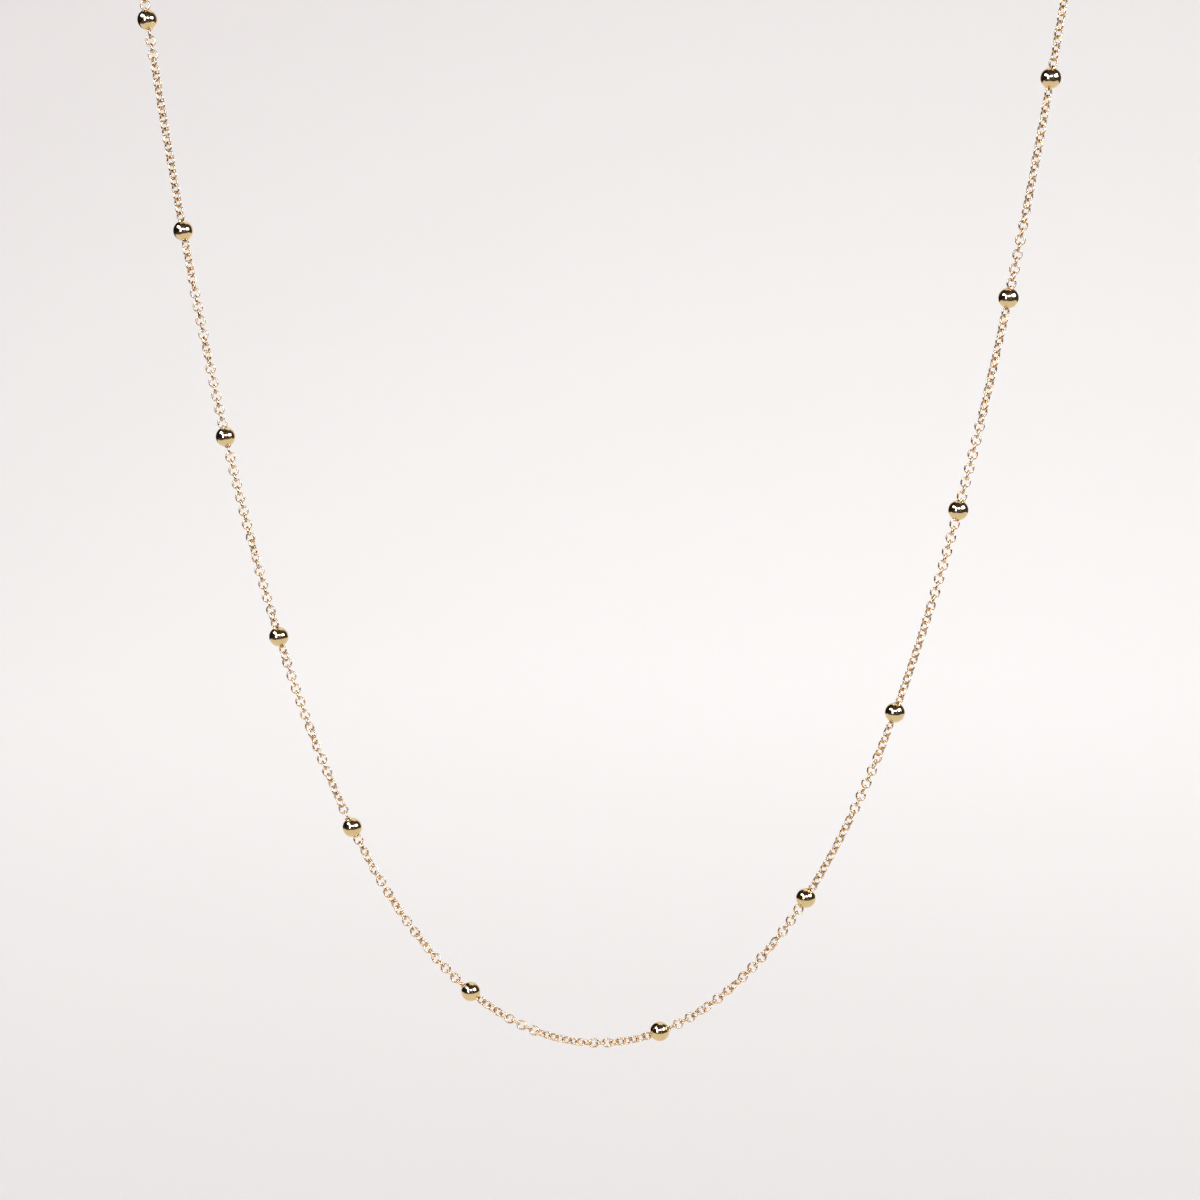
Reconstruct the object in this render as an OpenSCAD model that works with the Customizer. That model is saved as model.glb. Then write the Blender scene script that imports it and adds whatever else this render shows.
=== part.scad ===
// Station necklace: small polished balls spaced evenly along a fine cable chain.
// It hangs as it is worn: the front is a free catenary, the back goes round the nape.
// Frame: origin at the middle of the nape, +Z up, -Y the front, millimetres.
// The chain is a plain tube here, as wide as its links.

/* [Stations] */
// Number of balls round the whole necklace
station_count = 20; // [14:1:22]
// Distance from ball to ball, measured along the chain
station_pitch = 25.4; // [23:0.1:34]
// Diameter of a ball
ball_d = 2.4; // [2:0.1:5]
// Gap all round between the chain and the hole in a ball
ball_hole_gap = 0.12; // [0.1:0.01:0.2]
// How far the necklace has slipped round the neck, measured along the chain
slip = 3.86; // [0:0.01:5]

/* [Chain] */
// Width of a link, which is the width of the chain
chain_w = 1.24; // [1.1:0.01:1.6]
// Thickness of the wire that a link is bent from
link_wire = 0.24; // [0.15:0.01:0.3]

/* [Neck] */
// Width of the loop where it goes round the neck
neck_w = 112.4; // [90:0.1:130]
// Radius of the bend at each shoulder, from the hanging front to the level back
shoulder_r = 12.5; // [6:0.1:20]

/* [Clasp] */
// Outer diameter of the ring clasp
clasp_d = 5.5; // [5:0.1:8]
// Thickness of the ring clasp's tube
clasp_wire = 1.0; // [0.8:0.05:1.2]
// Outer diameter of the plain ring that the clasp closes on
end_ring_d = 4.0; // [3.8:0.1:6]
// Play between a ring's wire and the link or ring that hangs on it
ring_play = 0.13; // [0.1:0.01:0.15]
// Gap that is left between pieces that pull against each other
pull_gap = 0.12; // [0.05:0.01:0.12]

/* [Hidden] */
// Flat sides of the chain tube
tube_sides = 8;
// Most that the chain tube turns between two of its rings
ring_turn = 12;
// Straight length of chain tube that sticks out of each end of a ball
ball_lead = 0.3;
// Steps in which the catenary is solved
solve_steps = 40;
// Facets round the balls and rings, and round their wires and holes
round_fn = 64;
wire_fn = 24;

// Lengths along the middle of the chain, with the nape at 0
loop_len = station_count * station_pitch;
neck_r = neck_w / 2;
nape_len = PI / 2 * neck_r;
bend_len = PI / 2 * shoulder_r;
front_half = loop_len / 2 - nape_len - bend_len;

// Catenary: a parameter a, arc t from its lowest point
function cat_x(a, t) = a * ln(t / a + sqrt(pow(t / a, 2) + 1));
function cat_z(a, t) = sqrt(a * a + t * t) - a;
function cat_lean(a, t) = a / sqrt(a * a + t * t);

// Half width of the loop that a catenary of parameter a leads to
function loop_half(a) = cat_x(a, front_half) + shoulder_r * cat_lean(a, front_half);

// Parameter for which the front meets the shoulders, found by halving
function solve_a(low, high, n) =
    n == 0 ? (low + high) / 2 :
    loop_half((low + high) / 2) < neck_r
        ? solve_a((low + high) / 2, high, n - 1)
        : solve_a(low, (low + high) / 2, n - 1);
cat_a = solve_a(0.1, 20 * neck_r, solve_steps);

// Direction in which the chain leaves a shoulder, downward and inward
lean_in = cat_lean(cat_a, front_half);
lean_down = sqrt(1 - lean_in * lean_in);
front_y = -neck_r - shoulder_r;
low_z = -shoulder_r * lean_down - cat_z(cat_a, front_half);

// Middle of the chain on the -X half, at arc s from the nape
function half_at(s) =
    s <= nape_len ? nape_at(s / neck_r * 180 / PI) :
    s <= nape_len + bend_len ? bend_at((s - nape_len) / shoulder_r * 180 / PI) :
    front_at(s - loop_len / 2);
function nape_at(turn) = [-neck_r * sin(turn), neck_r * (cos(turn) - 1), 0];
function bend_at(turn) = [
    -neck_r + shoulder_r * lean_in * (1 - cos(turn)),
    -neck_r - shoulder_r * sin(turn),
    -shoulder_r * lean_down * (1 - cos(turn))
];
function front_at(t) = [cat_x(cat_a, t), front_y, low_z + cat_z(cat_a, t)];

// Middle of the chain at any arc s round the loop, and its direction there
function wrap(s) = s - loop_len * floor(s / loop_len);
function mirror_x(p) = [-p.x, p.y, p.z];
function on_half(s) = s <= loop_len / 2 ? half_at(s) : mirror_x(half_at(loop_len - s));
function chain_at(s) = on_half(wrap(s));
function unit(v) = v / norm(v);
function chain_dir(s) = unit(chain_at(s + 0.01) - chain_at(s - 0.01));

// Balls: arc of each, and the two rings of the tube that lead into and out of it
function ball_arc(i) = (i - 0.5) * station_pitch - slip;
ball_grip = ball_d / 2 + ball_lead;
function ball_in(i) = chain_at(ball_arc(i) - ball_grip);
function ball_out(i) = chain_at(ball_arc(i) + ball_grip);
ball_hole = chain_w + 2 * ball_hole_gap;

// Clasp: the wires that pass through a link fill its hole apart from the play
link_hole = chain_w - 2 * link_wire;
ring_wire = link_hole - 2 * ring_play;
eye_d = link_wire + 2 * ring_play + pull_gap * 2 + 2 * ring_wire;

// Places along the clasp's own axis, with the clasp's ring at 0
clasp_side = (clasp_d - clasp_wire) / 2;
eye_x = (clasp_d + eye_d) / 2 - ring_wire / 2;
eye_side = (eye_d - ring_wire) / 2;
link_side = (chain_w - link_wire) / 2;
link_pull = link_side - ring_wire / 2 - link_wire / 2 - pull_gap;
eye_link_x = eye_x + eye_side + link_pull;
end_ring_side = (end_ring_d - ring_wire) / 2;
end_ring_x = -clasp_side + clasp_wire / 2 + ring_wire / 2 + pull_gap - end_ring_side;
ring_link_x = end_ring_x - end_ring_side - link_pull;
tube_start_x = eye_link_x + chain_w / 2 + pull_gap;
tube_end_x = ring_link_x - chain_w / 2 - pull_gap;

// The clasp lies on the chord of the nape between the two ends of the tube
clasp_arc = -slip;
clasp_from = chain_at(clasp_arc + tube_end_x);
clasp_to = chain_at(clasp_arc + tube_start_x);
clasp_dir = unit(clasp_to - clasp_from);
clasp_mid = (clasp_from + clasp_to) / 2 - clasp_dir * (tube_start_x + tube_end_x) / 2;

// Rings of the chain tube, more where it bends
function turn_between(s1, s2) = acos(min(1, chain_dir(s1) * chain_dir(s2)));
function rings_between(s1, s2) = max(1, ceil(turn_between(s1, s2) / ring_turn) - 1);
function spread(s1, s2, n) = [for (k = [1 : n]) chain_at(s1 + (s2 - s1) * k / (n + 1))];
function gap_points(i) =
    let (s1 = ball_arc(i) + ball_grip, s2 = ball_arc(i + 1) - ball_grip)
    i == station_count ? [] : spread(s1, s2, rings_between(s1, s2));
tube_path = concat(
    [clasp_mid + clasp_dir * tube_start_x],
    [for (i = [1 : station_count]) each concat([ball_in(i), ball_out(i)], gap_points(i))],
    [clasp_mid + clasp_dir * tube_end_x]
);

// Sweep: a direction at each point, and a side vector carried along without twist
function path_dir(p, i) = unit(p[min(i + 1, len(p) - 1)] - p[max(i - 1, 0)]);
function flatten_to(v, along) = unit(v - (v * along) * along);
function path_sides(p) = [
    for (i = 0, side = flatten_to([0, 0, 1], path_dir(p, 0));
         i < len(p);
         i = i + 1, side = i < len(p) ? flatten_to(side, path_dir(p, i)) : side)
    side
];
function ring_points(centre, along, side, r, n) = [
    for (k = [0 : n - 1])
    centre + r * (cos(360 * k / n) * side + sin(360 * k / n) * cross(along, side))
];

module tube(p, d, n) {
    sides = path_sides(p);
    last = (len(p) - 1) * n;
    points = [for (i = [0 : len(p) - 1]) each ring_points(p[i], path_dir(p, i), sides[i], d / 2, n)];
    walls = [
        for (i = [0 : len(p) - 2], k = [0 : n - 1])
        let (a = i * n + k, b = i * n + (k + 1) % n)
        each [[a, b + n, b], [a, a + n, b + n]]
    ];
    start_cap = [for (k = [0 : n - 1]) k];
    end_cap = [for (k = [n - 1 : -1 : 0]) last + k];
    polyhedron(points = points, faces = concat([start_cap], walls, [end_cap]));
}

module round_ring(outer_d, wire) {
    rotate_extrude($fn = round_fn)
        translate([(outer_d - wire) / 2, 0])
            circle(d = wire, $fn = wire_fn);
}

// Puts a child that lies along +X on the clasp's axis
module on_clasp(x) {
    translate(clasp_mid + clasp_dir * x)
        rotate([0, 0, atan2(clasp_dir.y, clasp_dir.x)])
            children();
}

// A ring that stands up, seen edge-on from above
module upright() {
    rotate([90, 0, 0])
        children();
}

module chain() {
    color("#e3c48d")
        tube(tube_path, chain_w, tube_sides);
}

module ball(i) {
    along = unit(ball_out(i) - ball_in(i));
    color("#d8b678")
        translate((ball_in(i) + ball_out(i)) / 2)
            rotate([0, acos(along.z), atan2(along.y, along.x)])
                difference() {
                    sphere(d = ball_d, $fn = round_fn);
                    cylinder(d = ball_hole, h = 2 * ball_d, center = true, $fn = wire_fn);
                }
}

// Ring clasp with the eye that holds the chain, one plain piece
module clasp() {
    color("#d2ae6c") {
        on_clasp(0)
            upright()
                round_ring(clasp_d, clasp_wire);
        on_clasp(eye_x)
            upright()
                round_ring(eye_d, ring_wire);
    }
}

module end_ring() {
    color("#d2ae6c")
        on_clasp(end_ring_x)
            round_ring(end_ring_d, ring_wire);
}

// Last link at the clasp's eye, lying flat because the eye stands up
module clasp_link() {
    color("#e3c48d")
        on_clasp(eye_link_x)
            round_ring(chain_w, link_wire);
}

// Last link at the plain ring, standing up because that ring lies flat
module ring_link() {
    color("#e3c48d")
        on_clasp(ring_link_x)
            upright()
                round_ring(chain_w, link_wire);
}

function ball_name(i) = str("ball_", i < 10 ? "0" : "", i);

chain();
clasp();
clasp_link();
end_ring();
ring_link();
for (i = [1 : station_count])
    ball(i);
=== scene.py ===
"""Station necklace: polished balls on a fine cable chain, dressed round its solids, in a pale studio."""
import random
from math import asinh, cos, pi, radians, sin, sqrt

import bmesh
import bpy
from bpy.props import FloatProperty, FloatVectorProperty, IntProperty, PointerProperty
from mathutils import Matrix, Vector


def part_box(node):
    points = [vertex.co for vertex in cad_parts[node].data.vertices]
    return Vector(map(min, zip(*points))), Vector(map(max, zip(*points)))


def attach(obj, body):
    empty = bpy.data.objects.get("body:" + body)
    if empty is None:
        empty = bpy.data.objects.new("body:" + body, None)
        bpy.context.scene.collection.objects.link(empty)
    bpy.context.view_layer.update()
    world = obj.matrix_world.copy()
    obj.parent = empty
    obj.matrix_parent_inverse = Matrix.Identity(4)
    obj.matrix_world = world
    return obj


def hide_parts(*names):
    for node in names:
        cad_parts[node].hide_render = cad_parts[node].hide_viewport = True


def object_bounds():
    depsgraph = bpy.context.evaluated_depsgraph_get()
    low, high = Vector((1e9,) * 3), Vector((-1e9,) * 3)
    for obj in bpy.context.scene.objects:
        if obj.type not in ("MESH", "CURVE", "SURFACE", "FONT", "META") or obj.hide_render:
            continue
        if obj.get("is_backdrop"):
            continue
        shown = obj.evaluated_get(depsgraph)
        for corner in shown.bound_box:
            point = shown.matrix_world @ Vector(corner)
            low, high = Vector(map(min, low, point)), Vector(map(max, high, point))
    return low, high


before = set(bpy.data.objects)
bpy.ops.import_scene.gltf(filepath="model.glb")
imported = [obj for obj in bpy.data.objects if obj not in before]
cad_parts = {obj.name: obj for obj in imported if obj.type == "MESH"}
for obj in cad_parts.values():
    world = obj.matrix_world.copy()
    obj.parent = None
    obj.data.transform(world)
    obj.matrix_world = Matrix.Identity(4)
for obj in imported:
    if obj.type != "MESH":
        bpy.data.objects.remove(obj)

bl_info = {
    "name": "Station Necklace",
    "version": (1, 0, 0),
    "blender": (4, 5, 0),
    "location": "View3D > Sidebar > Necklace",
    "description": "Makes a station necklace with its links, balls, clasp finish and studio",
    "category": "Add Mesh",
}

BALL_NAMES = sorted(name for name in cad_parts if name.startswith("ball_"))
CLASP_NODES = ("clasp", "end_ring")

# Steps round a ring and sides of its wire; a ball's are its steps round and from end to end
LINK_FACETS = (12, 5)
END_LINK_FACETS = (24, 8)
EYELET_FACETS = (16, 8)
BALL_FACETS = (48, 32)

# Each gold's grain in metres, range of roughness and depth of its dents in metres
CHAIN_FINISH = (0.0012, (0.15, 0.27), 0.000002)
BALL_FINISH = (0.0012, (0.09, 0.14), 0.000004)
CLASP_FINISH = (0.002, (0.07, 0.15), 0.000004)

# How deep an eyelet's middle lies below its ball's surface, and the share of the ball's radius that
# rounds the rim of a socket
EYELET_DEPTH = 0.000125
RIM_ROUNDING = 0.03

# How far the route may miss a ball's middle, and how near a link's middle a point still counts as on it
ROUTE_TOLERANCE = 0.0001
MIDDLE_LIMIT = 1e-7

# Halvings in which the hanging front's slack is found, and the seed of the links' sway
SLACK_HALVINGS = 60
SWAY_SEED = 7

# The chain's two end links: the side of the clasp that each is on, and 1 if it stands up, 0 if it lies flat
END_LINKS = {"clasp_link": (1, 0), "ring_link": (-1, 1)}

# How the chain turns on itself, by the ball that a stretch leaves, as pairs of the share of the way to the
# next ball and the turn in degrees: at 0 every other link lies in the plane of the necklace.
TURNS = {
    5: ((0.0, 73), (0.15, 73), (0.25, 28), (1.0, 28)),
    6: ((0.0, 28), (0.2, 33), (0.32, 73), (0.5, 73), (0.66, 163), (1.0, 163)),
    7: ((0.0, 73), (0.45, 73), (0.56, 118), (0.66, 163), (0.83, 163), (0.9, 208), (1.0, 208)),
    8: ((0.0, 28), (0.1, 28), (0.16, -17), (0.42, -17), (0.5, 28), (0.6, 73), (0.7, 73), (0.76, 118),
        (0.86, 118), (0.92, 73), (1.0, 73)),
    9: ((0.0, -17), (0.06, -17), (0.15, 28), (0.33, 73), (0.56, 164), (0.78, 254), (1.0, 274)),
    10: ((0.0, 27), (0.19, 30), (0.26, 72), (0.36, 72), (0.42, 117), (0.6, 117), (0.7, 163), (0.8, 209),
         (1.0, 210)),
    11: ((0.0, 66), (0.16, 78), (0.32, 170), (0.56, 262), (0.63, 263), (0.79, 354), (1.0, 355)),
    12: ((0.0, 41), (0.43, 41), (0.5, 86), (0.7, 86), (0.8, 47), (1.0, 47)),
    13: ((0.0, 43), (0.5, 38), (0.62, -2), (1.0, -2)),
    14: ((0.0, -1), (0.4, -1), (0.48, 44), (1.0, 44)),
    15: ((0.0, 29), (0.12, 9), (0.3, 9), (0.45, 44), (1.0, 44)),
}


def box_size(node):
    """Length of a node's box along each axis."""
    low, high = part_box(node)
    return high - low


def box_middle(node):
    """Middle of a node's box."""
    low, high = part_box(node)
    return (low + high) / 2


class RouteSizes(bpy.types.PropertyGroup):
    """Sizes of the line that the chain follows"""
    neck_width: FloatProperty(
        name="Neck width", description="Width of the loop where it goes round the neck",
        default=0.1124, min=0.08, max=0.15, unit="LENGTH")
    shoulder_radius: FloatProperty(
        name="Shoulder radius", description="Radius of the bend from the hanging front to the level back",
        default=0.0125, min=0.005, max=0.02, unit="LENGTH")
    station_pitch: FloatProperty(
        name="Station pitch", description="Distance from ball to ball along the chain",
        default=0.0254, min=0.02, max=0.035, unit="LENGTH")
    slip: FloatProperty(
        name="Slip", description="How far the necklace has slipped round the neck",
        default=0.00386, min=0, max=0.005, unit="LENGTH")


class ChainSizes(bpy.types.PropertyGroup):
    """Sizes and colours of the cable chain"""
    link_width: FloatProperty(
        name="Link width", description="Width of a link over its wire",
        default=box_size("clasp_link").x, min=0.0008, max=0.002, unit="LENGTH")
    link_wire: FloatProperty(
        name="Link wire", description="Thickness of the wire that a link is bent from",
        default=box_size("clasp_link").z, min=0.0001, max=0.0004, unit="LENGTH")
    link_length: FloatProperty(
        name="Link length", description="Length of a link over its wire",
        default=0.00134, min=0.0008, max=0.002, unit="LENGTH")
    end_stretch: FloatProperty(
        name="End stretch", description="How much longer than wide the chain's two end links are",
        default=0.0002, min=0, max=0.0005, unit="LENGTH")
    end_reach: FloatProperty(
        name="End reach", description="How much further out the first link hangs in a longer end link",
        default=0.00021, min=0, max=0.0005, unit="LENGTH")
    links_per_station: IntProperty(
        name="Links per station", description="Link pitches that fit between two balls' middles",
        default=30, min=20, max=40)
    ball_steps: IntProperty(
        name="Ball steps", description="Link pitches from a ball's middle to its nearest link",
        default=2, min=1, max=3)
    sway: FloatProperty(
        name="Sway", description="Most that a link is turned by chance out of its even place",
        default=radians(7), min=0, max=radians(20), subtype="ANGLE")
    colour: FloatVectorProperty(
        name="Chain colour", description="Colour of the chain's gold",
        default=(0.89, 0.635, 0.35), min=0, max=1, size=3, subtype="COLOR")
    shade: FloatVectorProperty(
        name="Chain shade", description="Colour of the chain's gold where it is dullest",
        default=(0.79, 0.53, 0.27), min=0, max=1, size=3, subtype="COLOR")


class BallSizes(bpy.types.PropertyGroup):
    """Sizes and colours of the balls"""
    diameter: FloatProperty(
        name="Ball diameter", description="Diameter of a ball",
        default=max(box_size("ball_01")), min=0.001, max=0.006, unit="LENGTH")
    socket_width: FloatProperty(
        name="Socket width", description="Width of the round socket where the chain meets a ball",
        default=0.00088, min=0.0005, max=0.0014, unit="LENGTH")
    socket_depth: FloatProperty(
        name="Socket depth", description="Depth of that socket below its own rim",
        default=0.00042, min=0.0001, max=0.0006, unit="LENGTH")
    eyelet_width: FloatProperty(
        name="Eyelet width", description="Outer diameter of a socket's eyelet, which holds a link",
        default=0.0008, min=0.0005, max=0.0012, unit="LENGTH")
    eyelet_wire: FloatProperty(
        name="Eyelet wire", description="Thickness of an eyelet's wire",
        default=0.0002, min=0.0001, max=0.0003, unit="LENGTH")
    colour: FloatVectorProperty(
        name="Ball colour", description="Colour of the balls' gold",
        default=(0.88, 0.69, 0.36), min=0, max=1, size=3, subtype="COLOR")
    shade: FloatVectorProperty(
        name="Ball shade", description="Colour of the balls' gold where it is dullest",
        default=(0.84, 0.645, 0.325), min=0, max=1, size=3, subtype="COLOR")


class ClaspColours(bpy.types.PropertyGroup):
    """Colours of the clasp and the ring that it closes on"""
    colour: FloatVectorProperty(
        name="Clasp colour", description="Colour of the clasp's gold",
        default=(0.86, 0.665, 0.345), min=0, max=1, size=3, subtype="COLOR")
    shade: FloatVectorProperty(
        name="Clasp shade", description="Colour of the clasp's gold where it is dullest",
        default=(0.79, 0.585, 0.285), min=0, max=1, size=3, subtype="COLOR")


class StudioSizes(bpy.types.PropertyGroup):
    """Places and colours of the camera, the floor and the lights"""
    azimuth: FloatProperty(
        name="Camera azimuth", description="How far the camera stands round to the right of the front",
        default=radians(8.0), subtype="ANGLE")
    elevation: FloatProperty(
        name="Camera elevation", description="How far above the level the camera stands",
        default=radians(7.79), subtype="ANGLE")
    roll: FloatProperty(
        name="Camera roll", description="How far the camera leans",
        default=radians(0.162), subtype="ANGLE")
    distance: FloatProperty(
        name="Camera distance", description="Distance from the camera to the point that it looks at",
        default=0.3021, min=0.1, max=2, unit="LENGTH")
    lens: FloatProperty(
        name="Lens", description="Focal length in millimetres on a frame 36 millimetres wide",
        default=75, min=20, max=200)
    floor_drop: FloatProperty(
        name="Floor drop", description="How far the floor lies below the necklace",
        default=0.095, min=0.01, max=1, unit="LENGTH")
    floor_colour: FloatVectorProperty(
        name="Floor colour", description="Colour of the floor and of the wall that it curves up into",
        default=(0.90, 0.88, 0.875), min=0, max=1, size=3, subtype="COLOR")
    sky_colour: FloatVectorProperty(
        name="Sky colour", description="Colour of the even light that fills the studio",
        default=(1.0, 0.985, 0.985), min=0, max=1, size=3, subtype="COLOR")
    sky_strength: FloatProperty(
        name="Sky strength", description="Strength of the even light that fills the studio",
        default=0.93, min=0, max=10)


class Route:
    """Line down the middle of the chain, by the distance along it from the middle of the nape."""

    def __init__(self, sizes):
        self.pitch = sizes.station_pitch
        self.slip = sizes.slip
        self.length = len(BALL_NAMES) * sizes.station_pitch
        self.neck = sizes.neck_width / 2
        self.shoulder = sizes.shoulder_radius
        self.nape_length = pi / 2 * self.neck
        self.bend_length = pi / 2 * self.shoulder
        self.front_half = self.length / 2 - self.nape_length - self.bend_length
        self.slack = self.solve_slack()
        self.lean_in = self.lean(self.slack)
        self.lean_down = sqrt(1 - self.lean_in ** 2)
        front_drop = sqrt(self.slack ** 2 + self.front_half ** 2) - self.slack
        self.low_z = -self.shoulder * self.lean_down - front_drop

    def lean(self, slack):
        """How far the hanging front leans inward where it leaves the shoulder."""
        return slack / sqrt(slack ** 2 + self.front_half ** 2)

    def solve_slack(self):
        """Parameter of the catenary that meets both shoulders, found by halving."""
        low, high = 0.0001, 20 * self.neck
        for _ in range(SLACK_HALVINGS):
            middle = (low + high) / 2
            half_width = middle * asinh(self.front_half / middle) + self.shoulder * self.lean(middle)
            if half_width < self.neck:
                low = middle
            else:
                high = middle
        return (low + high) / 2

    def half_point(self, s):
        """Point at s on the -X half."""
        if s <= self.nape_length:
            turn = s / self.neck
            return Vector((-self.neck * sin(turn), self.neck * (cos(turn) - 1), 0))
        if s <= self.nape_length + self.bend_length:
            turn = (s - self.nape_length) / self.shoulder
            fall = self.shoulder * (1 - cos(turn))
            return Vector((
                -self.neck + fall * self.lean_in,
                -self.neck - self.shoulder * sin(turn),
                -fall * self.lean_down,
            ))
        t = s - self.length / 2
        return Vector((
            self.slack * asinh(t / self.slack),
            -self.neck - self.shoulder,
            self.low_z + sqrt(self.slack ** 2 + t ** 2) - self.slack,
        ))

    def half_side(self, s):
        """Direction away from the neck at s on the -X half, square to the chain."""
        if s <= self.nape_length:
            turn = s / self.neck
            return Vector((-sin(turn), cos(turn), 0))
        if s <= self.nape_length + self.bend_length:
            return Vector((-self.lean_down, 0, -self.lean_in))
        t = s - self.length / 2
        return Vector((t, 0, -self.slack)).normalized()

    def on_loop(self, half_function, s):
        """A half's value at any s round the loop, mirrored on the +X half."""
        s %= self.length
        if s <= self.length / 2:
            return half_function(s)
        value = half_function(self.length - s)
        return Vector((-value.x, value.y, value.z))

    def point(self, s):
        """Point at any s round the loop."""
        return self.on_loop(self.half_point, s)

    def direction(self, s):
        """Direction of the chain at any s round the loop."""
        step = 0.00001
        return (self.point(s + step) - self.point(s - step)).normalized()

    def place(self, s, turn):
        """Place of a link at s: its length along the chain, its width turned from the outward side."""
        along = self.direction(s)
        side = self.on_loop(self.half_side, s)
        width = (Matrix.Rotation(turn, 3, along) @ (side - along * side.dot(along))).normalized()
        flat = along.cross(width)
        turned = Matrix((along, width, flat)).transposed().to_4x4()
        return Matrix.Translation(self.point(s)) @ turned

    def ball_arc(self, number):
        """Distance from the nape to the middle of a ball, by its number."""
        return (number - 0.5) * self.pitch - self.slip


def turn_at(ball, share):
    """Turn of the chain at a share of the way from a ball to the next, a plain sway where it is hidden."""
    rows = TURNS.get(ball)
    if rows is None:
        return radians(40 * sin(2.4 * ball + 3 * share))
    for (share_a, turn_a), (share_b, turn_b) in zip(rows, rows[1:]):
        if share <= share_b:
            return radians(turn_a + (turn_b - turn_a) * (share - share_a) / (share_b - share_a))
    return radians(rows[-1][1])


def link_rows(route, sizes):
    """Distance along the chain and turn of each link, between the balls and then up to the clasp."""
    step = route.pitch / sizes.links_per_station
    rest = sizes.ball_steps * step
    per_gap = sizes.links_per_station - 2 * sizes.ball_steps + 1
    rows = []
    for ball in range(1, len(BALL_NAMES)):
        for number in range(per_gap):
            arc = route.ball_arc(ball) + rest + number * step
            share = (arc - route.ball_arc(ball)) / route.pitch
            rows.append((arc, turn_at(ball, share) + pi / 2 * (number % 2)))
    rows += clasp_rows(route, sizes, "clasp_link", route.ball_arc(1) - rest, 0)
    rows += clasp_rows(route, sizes, "ring_link", route.ball_arc(len(BALL_NAMES)) + rest, pi / 2)
    return rows


def clasp_rows(route, sizes, node, last_arc, first_turn):
    """Links from an end link to the nearest ball, a little slack because they lie on the nape."""
    side, _ = END_LINKS[node]
    start = -box_middle(node).x + side * sizes.end_reach
    if side < 0:
        start += route.length
    gap = last_arc - start
    step = route.pitch / sizes.links_per_station
    count = int(abs(gap) / step) + 1
    return [(start + gap * k / count, first_turn + pi / 2 * k) for k in range(1, count + 1)]


def end_link_place(node):
    """Place of an end link: its own X axis leads away from the clasp, its Z axis is square to the link."""
    side, upright = END_LINKS[node]
    along = (box_middle("clasp_link") - box_middle("ring_link")).normalized() * side
    level = Vector((0, 0, 1)).cross(along)
    width = Matrix.Rotation(upright * pi / 2, 3, along) @ level
    turned = Matrix((along, width, along.cross(width))).transposed().to_4x4()
    return Matrix.Translation(box_middle(node)) @ turned


def object_from(bm, name):
    """A new smooth object that holds a bmesh, whose faces are turned outward."""
    bmesh.ops.recalc_face_normals(bm, faces=bm.faces)
    for face in bm.faces:
        face.smooth = True
    mesh = bpy.data.meshes.new(name)
    bm.to_mesh(mesh)
    bm.free()
    obj = bpy.data.objects.new(name, mesh)
    bpy.context.scene.collection.objects.link(obj)
    return obj


def add_ring(bm, width, wire, ring_steps, wire_sides, place=Matrix.Identity(4)):
    """Adds a round ring of round wire that lies in its own XY plane, and returns its vertices."""
    start = Matrix.Translation((0, (width - wire) / 2, 0)) @ Matrix.Rotation(pi / 2, 4, "Y")
    section = bmesh.ops.create_circle(bm, segments=wire_sides, radius=wire / 2, matrix=start)["verts"]
    edges = list(dict.fromkeys(edge for vert in section for edge in vert.link_edges))
    before = set(bm.verts) - set(section)
    bmesh.ops.spin(
        bm, geom=section + edges, axis=(0, 0, 1), cent=(0, 0, 0), angle=2 * pi, steps=ring_steps,
        use_merge=True)
    ring = [vert for vert in bm.verts if vert not in before]
    bmesh.ops.transform(bm, matrix=place, verts=ring)
    return ring


def new_material(name):
    """A new material with its own nodes, and its shader and its reader of object coordinates."""
    material = bpy.data.materials.new(name)
    material.use_nodes = True
    shader = material.node_tree.nodes["Principled BSDF"]
    coords = material.node_tree.nodes.new("ShaderNodeTexCoord")
    return material, shader, coords.outputs["Object"]


def noise(material, coords, grain, detail):
    """Noise whose lumps are about grain across."""
    node = material.node_tree.nodes.new("ShaderNodeTexNoise")
    node.inputs["Scale"].default_value = 1 / grain
    node.inputs["Detail"].default_value = detail
    material.node_tree.links.new(coords, node.inputs["Vector"])
    return node.outputs["Fac"]


def ranged(material, value, low, high):
    """Spreads the middle of a noise over the range from low to high."""
    node = material.node_tree.nodes.new("ShaderNodeMapRange")
    node.inputs["From Min"].default_value = 0.3
    node.inputs["From Max"].default_value = 0.7
    node.inputs["To Min"].default_value = low
    node.inputs["To Max"].default_value = high
    material.node_tree.links.new(value, node.inputs["Value"])
    return node.outputs["Result"]


def gold(name, colour, shade, grain, polish, dent):
    """Gold mottled from colour to shade in lumps of grain, as rough as polish's range, dented by dent."""
    material, shader, coords = new_material(name)
    links = material.node_tree.links
    shader.inputs["Metallic"].default_value = 1
    mottle = ranged(material, noise(material, coords, grain, 3), 0, 1)
    mix = material.node_tree.nodes.new("ShaderNodeMix")
    mix.data_type = "RGBA"
    mix.inputs["A"].default_value = (*colour, 1)
    mix.inputs["B"].default_value = (*shade, 1)
    links.new(mottle, mix.inputs["Factor"])
    links.new(mix.outputs["Result"], shader.inputs["Base Color"])
    links.new(ranged(material, noise(material, coords, grain / 3, 4), *polish), shader.inputs["Roughness"])
    bump = material.node_tree.nodes.new("ShaderNodeBump")
    bump.inputs["Distance"].default_value = dent
    links.new(noise(material, coords, grain / 2, 2), bump.inputs["Height"])
    links.new(bump.outputs["Normal"], shader.inputs["Normal"])
    return material


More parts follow.
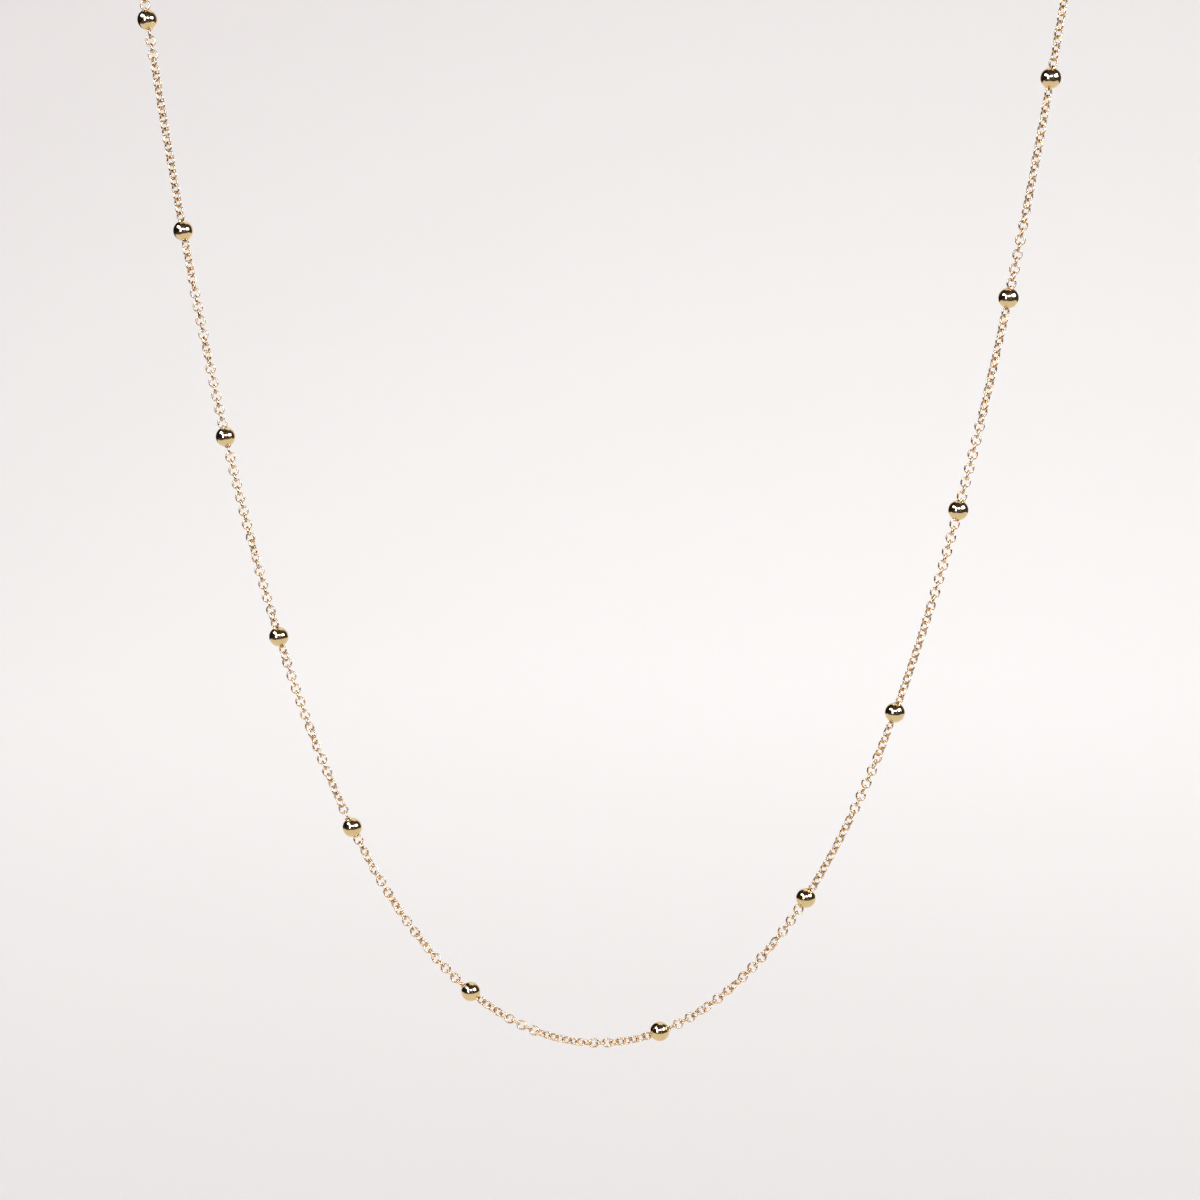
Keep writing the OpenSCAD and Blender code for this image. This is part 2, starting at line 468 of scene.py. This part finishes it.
class NECKLACE_OT_chain(bpy.types.Operator):
    """Make the cable chain link by link, and the two longer links at its ends"""
    bl_idname = "necklace.add_chain"
    bl_label = "Add Chain"

    def execute(self, context):
        sizes = context.scene.necklace_chain
        route = Route(context.scene.necklace_route)
        chance = random.Random(SWAY_SEED)
        bm = bmesh.new()
        ring = add_ring(bm, sizes.link_width, sizes.link_wire, *LINK_FACETS)
        stretch = (sizes.link_length - sizes.link_width) / 2
        for end in (-1, 1):
            half = [v for v in ring if v.co.x * end > MIDDLE_LIMIT]
            bmesh.ops.translate(bm, vec=(end * stretch, 0, 0), verts=half)
        pattern = bm.verts[:] + bm.edges[:] + bm.faces[:]
        for arc, turn in link_rows(route, sizes):
            copy = bmesh.ops.duplicate(bm, geom=pattern)["geom"]
            verts = [item for item in copy if isinstance(item, bmesh.types.BMVert)]
            sway = [chance.uniform(-sizes.sway, sizes.sway) for _ in range(2)]
            tilt = Matrix.Rotation(sway[0] / 2, 4, "Z")
            place = route.place(arc, turn + sway[1]) @ tilt
            bmesh.ops.transform(bm, matrix=place, verts=verts)
        bmesh.ops.delete(bm, geom=ring, context="VERTS")
        material = gold("chain_gold", sizes.colour, sizes.shade, *CHAIN_FINISH)
        chain = object_from(bm, "chain_links")
        chain.data.materials.append(material)
        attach(chain, "root")
        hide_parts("chain")
        for node in END_LINKS:
            bm = bmesh.new()
            link = add_ring(bm, sizes.link_width, sizes.link_wire, *END_LINK_FACETS)
            far_half = [v for v in link if v.co.x > MIDDLE_LIMIT]
            bmesh.ops.translate(bm, vec=(sizes.end_stretch, 0, 0), verts=far_half)
            bmesh.ops.transform(bm, matrix=end_link_place(node), verts=link)
            end_link = object_from(bm, f"long_{node}")
            end_link.data.materials.append(material)
            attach(end_link, "root")
            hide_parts(node)
        return {"FINISHED"}


def add_ball(bm, sizes):
    """Adds a ball whose middle is the origin, with a socket at each end of its own Z axis."""
    radius = sizes.diameter / 2
    socket = sizes.socket_width / 2
    rim = sqrt(radius ** 2 - socket ** 2)
    round_steps, height_steps = BALL_FACETS
    bmesh.ops.create_uvsphere(bm, u_segments=round_steps, v_segments=height_steps, radius=radius)
    for end in (-1, 1):
        whole = bm.verts[:] + bm.edges[:] + bm.faces[:]
        cut = bmesh.ops.bisect_plane(
            bm, geom=whole, plane_co=(0, 0, end * rim), plane_no=(0, 0, end), clear_outer=True)["geom_cut"]
        edge = [item for item in cut if isinstance(item, bmesh.types.BMEdge)]
        wall = bmesh.ops.extrude_edge_only(bm, edges=edge)["geom"]
        verts = [item for item in wall if isinstance(item, bmesh.types.BMVert)]
        bottom = [item for item in wall if isinstance(item, bmesh.types.BMEdge)]
        bmesh.ops.translate(bm, vec=(0, 0, -end * sizes.socket_depth), verts=verts)
        bmesh.ops.edgeloop_fill(bm, edges=[e for e in bottom if all(v in verts for v in e.verts)])
        bmesh.ops.bevel(
            bm, geom=edge, offset=radius * RIM_ROUNDING, affect="EDGES", segments=2, profile=0.5,
            material=-1)


class NECKLACE_OT_balls(bpy.types.Operator):
    """Make the polished balls, each with its two sockets and the eyelets that hold the chain"""
    bl_idname = "necklace.add_balls"
    bl_label = "Add Balls"

    def execute(self, context):
        sizes = context.scene.necklace_balls
        route = Route(context.scene.necklace_route)
        rows = link_rows(route, context.scene.necklace_chain)
        material = gold("ball_gold", sizes.colour, sizes.shade, *BALL_FINISH)
        for number, name in enumerate(BALL_NAMES, 1):
            middle = box_middle(name)
            arc = route.ball_arc(number)
            if (route.point(arc) - middle).length > ROUTE_TOLERANCE:
                raise RuntimeError(f"the route misses {name}")
            along = route.direction(arc)
            bm = bmesh.new()
            add_ball(bm, sizes)
            upright = Matrix.Translation(middle) @ along.to_track_quat("Z", "Y").to_matrix().to_4x4()
            bmesh.ops.transform(bm, matrix=upright, verts=bm.verts)
            for end in (-1, 1):
                beyond = [row for row in rows if (row[0] - arc) * end > 0]
                _, link_turn = min(beyond, key=lambda row: abs(row[0] - arc))
                reach = sizes.diameter / 2 - EYELET_DEPTH
                place = route.place(arc, link_turn + pi / 2) @ Matrix.Translation((end * reach, 0, 0))
                add_ring(bm, sizes.eyelet_width, sizes.eyelet_wire, *EYELET_FACETS, place)
            ball_object = object_from(bm, f"polished_{name}")
            ball_object.data.materials.append(material)
            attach(ball_object, "root")
            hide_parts(name)
        return {"FINISHED"}


class NECKLACE_OT_clasp(bpy.types.Operator):
    """Give the clasp and the ring that it closes on their gold"""
    bl_idname = "necklace.finish_clasp"
    bl_label = "Finish Clasp"

    def execute(self, context):
        colours = context.scene.necklace_clasp
        material = gold("clasp_gold", colours.colour, colours.shade, *CLASP_FINISH)
        for node in CLASP_NODES:
            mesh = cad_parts[node].data
            mesh.materials.clear()
            mesh.materials.append(material)
        return {"FINISHED"}


# The point that the camera and the softboxes face, near the middle of the hanging front
LOOK_AT = Vector((0.000985, -0.0687, -0.08405))


def studio_place(azimuth, elevation, distance, roll):
    """Place of a thing that stands off from LOOK_AT and faces it: azimuth 0 is in front, a quarter is +X."""
    turn = Matrix.Rotation(azimuth, 4, "Z") @ Matrix.Rotation(pi / 2 - elevation, 4, "X")
    stand_off = Matrix.Rotation(roll, 4, "Z") @ Matrix.Translation((0, 0, distance))
    return Matrix.Translation(LOOK_AT) @ turn @ stand_off


# Softboxes in front of the necklace: azimuth, elevation and roll in degrees, width, height and brightness
SOFTBOXES = {
    "left_bar": (-57, 40, -4, 0.22, 0.10, 11.0),
    "left_leg": (-22, 16, 4, 0.075, 0.245, 11.0),
    "middle": (13, 27, 0, 0.175, 0.085, 7.5),
    "right": (67, 28, 0, 0.235, 0.14, 13.0),
}
SOFTBOX_DISTANCE = 0.38
SOFTBOX_COLOUR = (0.88, 0.96, 1.28)

# Cove: radius of its floor, height of its wall, and how far in the curve between them starts
COVE_RADIUS = 1.6
COVE_HEIGHT = 1.3
COVE_BEND = 0.7


def add_cove(settings):
    """Floor that curves up into a wall all round, so no view shows its edge."""
    low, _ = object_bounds()
    bm = bmesh.new()
    bmesh.ops.create_circle(bm, cap_ends=True, segments=96, radius=COVE_RADIUS)
    rim = bm.edges[:]
    wall = bmesh.ops.extrude_edge_only(bm, edges=rim)["geom"]
    top = [item for item in wall if isinstance(item, bmesh.types.BMVert)]
    bmesh.ops.translate(bm, vec=(0, 0, COVE_HEIGHT), verts=top)
    bmesh.ops.bevel(bm, geom=rim, offset=COVE_BEND, affect="EDGES", segments=12, profile=0.5, material=-1)
    bmesh.ops.translate(bm, vec=(0, 0, low.z - settings.floor_drop), verts=bm.verts)
    cove = object_from(bm, "pale_cove")
    material, shader, _ = new_material("pale_paint")
    shader.inputs["Base Color"].default_value = (*settings.floor_colour, 1)
    shader.inputs["Roughness"].default_value = 1
    shader.inputs["Specular IOR Level"].default_value = 0
    cove.data.materials.append(material)
    cove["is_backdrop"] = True


# Dark cards round the necklace: middle, width and height in metres, tip and turn in degrees, brightness
CARDS = {
    "left_floor_card": ((-0.305, -0.54, -0.183), 0.9, 0.73, 0, -33, 0.09),
    "right_floor_card": ((0.178, -0.618, -0.184), 0.9, 0.73, 0, 18, 0.09),
    "ceiling_card": ((0.0, -0.41, 1.0), 1.1, 1.18, 0, 0, 0.07),
    "front_card": ((0.0, -1.0, 0.39), 1.0, 1.2, 90, 0, 0.08),
    "left_card": ((-0.5, -0.55, 0.39), 0.9, 1.2, 90, 90, 0.02),
    "left_wing": ((-0.37, 0.15, 0.39), 0.57, 1.2, 90, 63, 0.02),
    "right_card": ((0.55, -0.5, 0.39), 1.0, 1.2, 90, 90, 0.06),
    "right_wing": ((0.455, 0.245, 0.39), 0.53, 1.2, 90, 112, 0.06),
}
# Tint of the cards, a faint violet, as shares of their brightness
CARD_TINT = (1.0, 0.82, 1.12)


def add_card(name, middle, width, height, tip, turn, brightness):
    """Dark card seen only in the metal, which gives the gold its dark bands."""
    place = Matrix.Translation(middle) @ Matrix.Rotation(radians(turn), 4, "Z")
    place = place @ Matrix.Rotation(radians(tip), 4, "X") @ Matrix.Diagonal((width, height, 1, 1))
    bm = bmesh.new()
    bmesh.ops.create_grid(bm, x_segments=1, y_segments=1, size=0.5, matrix=place)
    card = object_from(bm, name)
    material, shader, _ = new_material(name)
    shader.inputs["Base Color"].default_value = (*(brightness * share for share in CARD_TINT), 1)
    shader.inputs["Roughness"].default_value = 1
    shader.inputs["Specular IOR Level"].default_value = 0
    card.data.materials.append(material)
    for ray in ("camera", "diffuse", "transmission", "volume_scatter", "shadow"):
        setattr(card, f"visible_{ray}", False)
    card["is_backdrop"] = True


def add_softbox(name, azimuth, elevation, roll, width, height, brightness):
    """Soft rectangular light, not seen itself."""
    light = bpy.data.lights.new(name, "AREA")
    light.shape = "RECTANGLE"
    light.size = width
    light.size_y = height
    light.energy = pi * width * height * brightness
    light.color = SOFTBOX_COLOUR
    box = bpy.data.objects.new(name, light)
    box.matrix_world = studio_place(radians(azimuth), radians(elevation), SOFTBOX_DISTANCE, radians(roll))
    box.visible_camera = False
    box.visible_diffuse = False
    bpy.context.scene.collection.objects.link(box)


# Floor lamp: its place and tip, diameter, spread, power in watts and colour
LAMP_PLACE = (0.03, 0.62, 0.95)
LAMP_TIP = radians(15)
LAMP_SIZE = 0.8
LAMP_SPREAD = radians(100)
LAMP_POWER = 1.4
LAMP_COLOUR = (0.93, 1.0, 0.985)


def add_floor_lamp():
    """Soft light over the far floor and the wall behind, seen neither itself nor in the metal."""
    light = bpy.data.lights.new("floor_lamp", "AREA")
    light.shape = "DISK"
    light.size = LAMP_SIZE
    light.spread = LAMP_SPREAD
    light.energy = LAMP_POWER
    light.color = LAMP_COLOUR
    lamp = bpy.data.objects.new("floor_lamp", light)
    lamp.matrix_world = Matrix.Translation(LAMP_PLACE) @ Matrix.Rotation(LAMP_TIP, 4, "X")
    lamp.visible_camera = False
    lamp.visible_glossy = False
    bpy.context.scene.collection.objects.link(lamp)


class NECKLACE_OT_stage(bpy.types.Operator):
    """Make the pale floor and wall, the lights and the camera"""
    bl_idname = "necklace.add_stage"
    bl_label = "Add Stage"

    def execute(self, context):
        settings = context.scene.necklace_studio
        add_cove(settings)
        for name, row in CARDS.items():
            add_card(name, *row)
        for name, row in SOFTBOXES.items():
            add_softbox(name, *row)
        add_floor_lamp()
        world = bpy.data.worlds.new("studio_light")
        world.use_nodes = True
        background = world.node_tree.nodes["Background"]
        background.inputs["Color"].default_value = (*settings.sky_colour, 1)
        background.inputs["Strength"].default_value = settings.sky_strength
        context.scene.world = world
        context.scene.view_settings.view_transform = "Standard"
        lens = bpy.data.cameras.new("camera")
        lens.lens = settings.lens
        lens.clip_start = 0.01
        camera = bpy.data.objects.new("camera", lens)
        camera.matrix_world = studio_place(
            settings.azimuth, settings.elevation, settings.distance, settings.roll)
        context.scene.collection.objects.link(camera)
        context.scene.camera = camera
        return {"FINISHED"}


class NECKLACE_PT_panel(bpy.types.Panel):
    """Steps that make the necklace, in order"""
    bl_idname = "NECKLACE_PT_panel"
    bl_label = "Station Necklace"
    bl_space_type = "VIEW_3D"
    bl_region_type = "UI"
    bl_category = "Necklace"

    def draw(self, context):
        for operator in (NECKLACE_OT_chain, NECKLACE_OT_balls, NECKLACE_OT_clasp, NECKLACE_OT_stage):
            self.layout.operator(operator.bl_idname)


CLASSES = (
    RouteSizes, ChainSizes, BallSizes, ClaspColours, StudioSizes,
    NECKLACE_OT_chain, NECKLACE_OT_balls, NECKLACE_OT_clasp, NECKLACE_OT_stage, NECKLACE_PT_panel,
)
SETTINGS = {
    "necklace_route": RouteSizes,
    "necklace_chain": ChainSizes,
    "necklace_balls": BallSizes,
    "necklace_clasp": ClaspColours,
    "necklace_studio": StudioSizes,
}


def register():
    for item in CLASSES:
        bpy.utils.register_class(item)
    for name, group in SETTINGS.items():
        setattr(bpy.types.Scene, name, PointerProperty(type=group))


def unregister():
    for name in SETTINGS:
        delattr(bpy.types.Scene, name)
    for item in reversed(CLASSES):
        bpy.utils.unregister_class(item)


def main():
    """Makes the necklace step by step."""
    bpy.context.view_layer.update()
    register()
    bpy.ops.necklace.add_chain()
    bpy.ops.necklace.add_balls()
    bpy.ops.necklace.finish_clasp()
    bpy.ops.necklace.add_stage()


if __name__ == "__main__":
    main()
